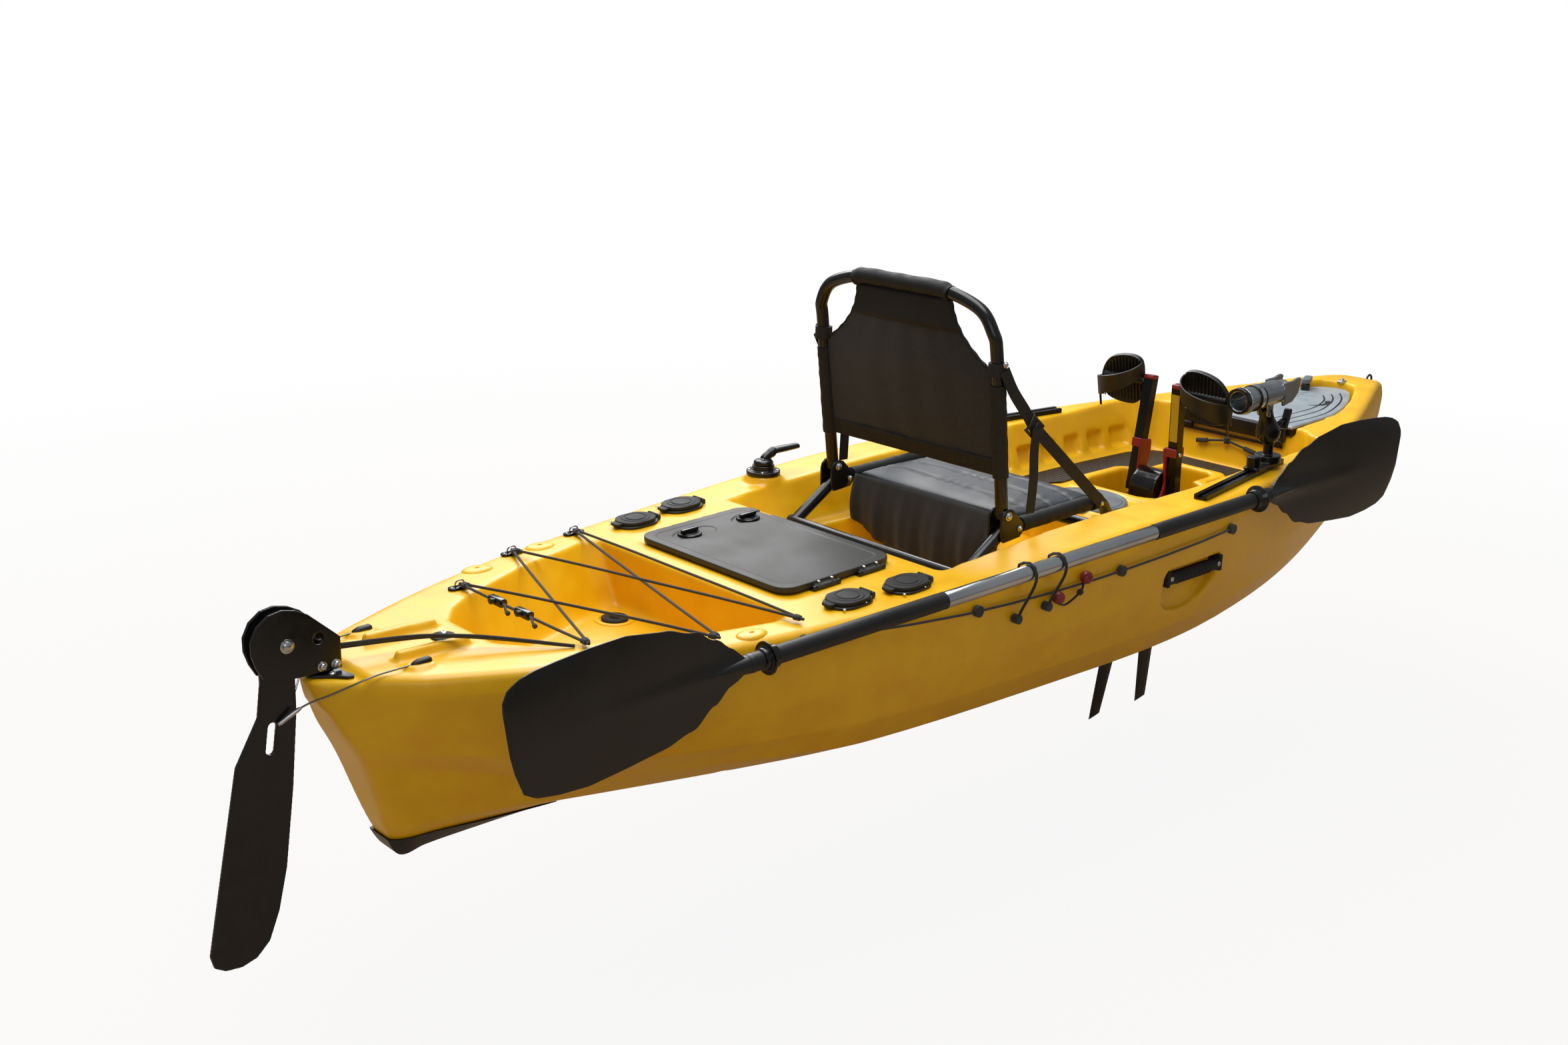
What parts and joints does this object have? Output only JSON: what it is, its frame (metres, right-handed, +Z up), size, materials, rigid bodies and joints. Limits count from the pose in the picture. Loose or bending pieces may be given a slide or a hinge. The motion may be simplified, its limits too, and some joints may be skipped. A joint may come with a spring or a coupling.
{
  "type": "pedal_kayak",
  "caption": "Sit-on-top pedal kayak with a fin drive, a rudder and its lever, a framed seat, hatches, rod holders and a stowed paddle.",
  "frame": {"origin": "on the flat of the bottom, on the centre line, amidships", "axes": "+X to the bow, +Y to port, +Z up"},
  "size_m": [3.369, 0.9266, 1.1307],
  "materials": {
    "hull_plastic": "satin moulded polyethylene",
    "black_plastic": "moulded nylon and polyethylene",
    "cable_steel": "stranded stainless wire",
    "black_cord": "braided elastic cord",
    "black_tube": "powder-coated aluminium tube",
    "black_fabric": "mesh and woven seat cloth",
    "black_webbing": "woven webbing",
    "black_rubber": "moulded rubber",
    "grey_foam": "textured foam sheet",
    "red_plastic": "red powder coat",
    "silver_alloy": "satin anodised",
    "grey_plastic": "moulded polyethylene"
  },
  "bodies": {
    "kayak": {"hull": "hull_plastic", "keel_guard": "black_plastic", "rudder_bracket": "black_plastic", "rudder_cable_starboard": "cable_steel", "rudder_cable_port": "cable_steel", "rudder_lift_line": "black_cord", "tank_lacing": "black_cord", "centre_hatch_rim": "black_plastic", "rod_cup_aft_port": "black_plastic", "rod_cup_aft_starboard": "black_plastic", "rod_cup_fore_port": "black_plastic", "rod_cup_fore_starboard": "black_plastic", "lever_base": "black_plastic", "seat_frame": "black_tube", "seat_cushion": "black_fabric", "seat_strap_port": "black_webbing", "seat_strap_starboard": "black_webbing", "mat_port": "grey_foam", "mat_starboard": "grey_foam", "drive_housing": "black_plastic", "gear_track_port": "silver_alloy", "carry_handle_port": "black_rubber", "gear_track_starboard": "silver_alloy", "carry_handle_starboard": "black_rubber", "front_hinge": "black_plastic", "bulkhead_cord": "black_cord", "paddle_shaft": "silver_alloy", "paddle_end_aft": "black_plastic", "paddle_end_fore": "black_plastic", "anchor_trolley": "black_cord", "paddle_loop_aft": "black_cord", "paddle_loop_fore": "black_cord"},
    "rudder_head": {"rudder_head": "black_plastic"},
    "rudder_blade": {"rudder_blade": "black_plastic"},
    "steering_lever": {"steering_lever": "black_plastic"},
    "centre_hatch_lid": {"centre_hatch_lid": "black_plastic"},
    "hatch_latch_aft": {"hatch_latch_aft": "black_plastic"},
    "hatch_latch_fore": {"hatch_latch_fore": "black_plastic"},
    "round_hatch_lid": {"round_hatch_lid": "black_plastic"},
    "front_hatch_lid": {"front_hatch_lid": "grey_plastic"},
    "front_latch": {"front_latch": "grey_plastic"},
    "backrest": {"backrest_frame": "black_tube", "backrest_fabric": "black_fabric"},
    "mast_port": {"crank_bracket_port": "red_plastic", "mast_port": "black_tube"},
    "mast_starboard": {"crank_bracket_starboard": "red_plastic", "mast_starboard": "black_tube"},
    "pedal_port": {"pedal_port": "black_plastic"},
    "pedal_starboard": {"pedal_starboard": "black_plastic"},
    "fin_aft": {"fin_aft": "black_rubber"},
    "fin_fore": {"fin_fore": "black_rubber"},
    "rod_holder_base": {"rod_holder_base": "black_plastic"},
    "rod_holder_arm": {"rod_holder_arm": "black_plastic"},
    "rod_holder_tube": {"rod_holder_tube": "silver_alloy"},
    "scupper_plug_port": {"scupper_plug_port": "black_rubber"},
    "scupper_plug_starboard": {"scupper_plug_starboard": "black_rubber"},
    "rod_cap_aft_port": {"rod_cap_aft_port": "black_plastic"},
    "rod_cap_aft_starboard": {"rod_cap_aft_starboard": "black_plastic"},
    "rod_cap_fore_port": {"rod_cap_fore_port": "black_plastic"},
    "rod_cap_fore_starboard": {"rod_cap_fore_starboard": "black_plastic"}
  },
  "joints": [
    {"name": "rudder_steer", "type": "hinge", "parent": "kayak", "child": "rudder_head", "pos_m": [-1.57, 0, 0.35], "axis": [0, 0, 1], "range_deg": [-35, 35], "deforming": ["rudder_cable_port", "rudder_cable_starboard", "rudder_lift_line"]},
    {"name": "rudder_kick", "type": "hinge", "parent": "rudder_head", "child": "rudder_blade", "pos_m": [-1.629, 0, 0.398], "axis": [0, 1, 0], "range_deg": [0, 220]},
    {"name": "lever_swing", "type": "hinge", "parent": "kayak", "child": "steering_lever", "pos_m": [-0.356, 0.339, 0.4], "axis": [0, 0, 1], "range_deg": [-40, 40]},
    {"name": "cap_aft_port", "type": "hinge", "parent": "kayak", "child": "rod_cap_aft_port", "pos_m": [-0.68232, 0.3, 0.35886], "axis": [0, 1, 0], "range_deg": [0, 110]},
    {"name": "cap_aft_starboard", "type": "hinge", "parent": "kayak", "child": "rod_cap_aft_starboard", "pos_m": [-0.68232, -0.3, 0.35886], "axis": [0, 1, 0], "range_deg": [0, 110]},
    {"name": "cap_fore_port", "type": "hinge", "parent": "kayak", "child": "rod_cap_fore_port", "pos_m": [-0.5525, 0.317, 0.36461], "axis": [0, 1, 0], "range_deg": [0, 110]},
    {"name": "cap_fore_starboard", "type": "hinge", "parent": "kayak", "child": "rod_cap_fore_starboard", "pos_m": [-0.5525, -0.317, 0.36461], "axis": [0, 1, 0], "range_deg": [0, 110]},
    {"name": "centre_lid", "type": "hinge", "parent": "kayak", "child": "centre_hatch_lid", "pos_m": [-0.65718, -0.218, 0.35424], "axis": [0.9993, 0, 0.0368], "range_deg": [0, 110]},
    {"name": "latch_aft", "type": "hinge", "parent": "centre_hatch_lid", "child": "hatch_latch_aft", "pos_m": [-0.7144, 0.149, 0.35913], "axis": [-0.0368, 0, 0.9993], "range_deg": [0, 90]},
    {"name": "latch_fore", "type": "hinge", "parent": "centre_hatch_lid", "child": "hatch_latch_fore", "pos_m": [-0.5685, 0.146, 0.36451], "axis": [-0.0368, 0, 0.9993], "range_deg": [0, 90]},
    {"name": "round_lid", "type": "hinge", "parent": "kayak", "child": "round_hatch_lid", "pos_m": [0.318, 0, 0.28], "axis": [0, 0, 1], "range_deg": [0, 90]},
    {"name": "front_lid", "type": "hinge", "parent": "kayak", "child": "front_hatch_lid", "pos_m": [0.878, 0, 0.3583], "axis": [0, -1, 0], "range_deg": [0, 110]},
    {"name": "front_latch_turn", "type": "hinge", "parent": "front_hatch_lid", "child": "front_latch", "pos_m": [1.296, 0.044, 0.42], "axis": [0, 0, 1], "range_deg": [-90, 0]},
    {"name": "seat_back", "type": "hinge", "parent": "kayak", "child": "backrest", "pos_m": [-0.251, 0, 0.404], "axis": [0, 1, 0], "range_deg": [0, 86], "deforming": ["seat_strap_port", "seat_strap_starboard"]},
    {"name": "mast_swing_port", "type": "hinge", "parent": "kayak", "child": "mast_port", "pos_m": [0.582, 0, 0.262], "axis": [0, 1, 0], "range_deg": [-25, 25]},
    {"name": "mast_swing_starboard", "type": "hinge", "parent": "kayak", "child": "mast_starboard", "pos_m": [0.582, 0, 0.262], "axis": [0, 1, 0], "range_deg": [-25, 25]},
    {"name": "fin_sweep_aft", "type": "hinge", "parent": "kayak", "child": "fin_aft", "pos_m": [0.485, 0, -0.022], "axis": [1, 0, 0], "range_deg": [-45, 45]},
    {"name": "fin_sweep_fore", "type": "hinge", "parent": "kayak", "child": "fin_fore", "pos_m": [0.617, 0, -0.022], "axis": [1, 0, 0], "range_deg": [-45, 45]},
    {"name": "pedal_turn_port", "type": "hinge", "parent": "mast_port", "child": "pedal_port", "pos_m": [0.6184, 0.136, 0.5053], "axis": [0, 1, 0], "range_deg": [-35, 35]},
    {"name": "pedal_turn_starboard", "type": "hinge", "parent": "mast_starboard", "child": "pedal_starboard", "pos_m": [0.57, -0.136, 0.5077], "axis": [0, 1, 0], "range_deg": [-35, 35]},
    {"name": "rod_base_slide", "type": "slide", "parent": "kayak", "child": "rod_holder_base", "axis": [-0.9874, -0.1578, -0.0135], "range_m": [0, 0.2]},
    {"name": "rod_arm_turn", "type": "hinge", "parent": "rod_holder_base", "child": "rod_holder_arm", "pos_m": [0.5399, -0.3206, 0.42], "axis": [0, 0, 1], "range_deg": [-10, 120]},
    {"name": "rod_tube_tilt", "type": "hinge", "parent": "rod_holder_arm", "child": "rod_holder_tube", "pos_m": [0.5099, -0.3206, 0.5175], "axis": [0, 1, 0], "range_deg": [-30, 30]},
    {"name": "plug_port_lift", "type": "slide", "parent": "kayak", "child": "scupper_plug_port", "axis": [0, 0, 1], "range_m": [0, 0.025]},
    {"name": "plug_starboard_lift", "type": "slide", "parent": "kayak", "child": "scupper_plug_starboard", "axis": [0, 0, 1], "range_m": [0, 0.025]}
  ],
  "couplings": [
    {"joint": "lever_swing", "follows": "rudder_steer", "ratio": 1.14},
    {"joint": "mast_swing_starboard", "follows": "mast_swing_port", "ratio": -1},
    {"joint": "fin_sweep_aft", "follows": "mast_swing_port", "ratio": 1.8},
    {"joint": "fin_sweep_fore", "follows": "mast_swing_port", "ratio": -1.8}
  ]
}
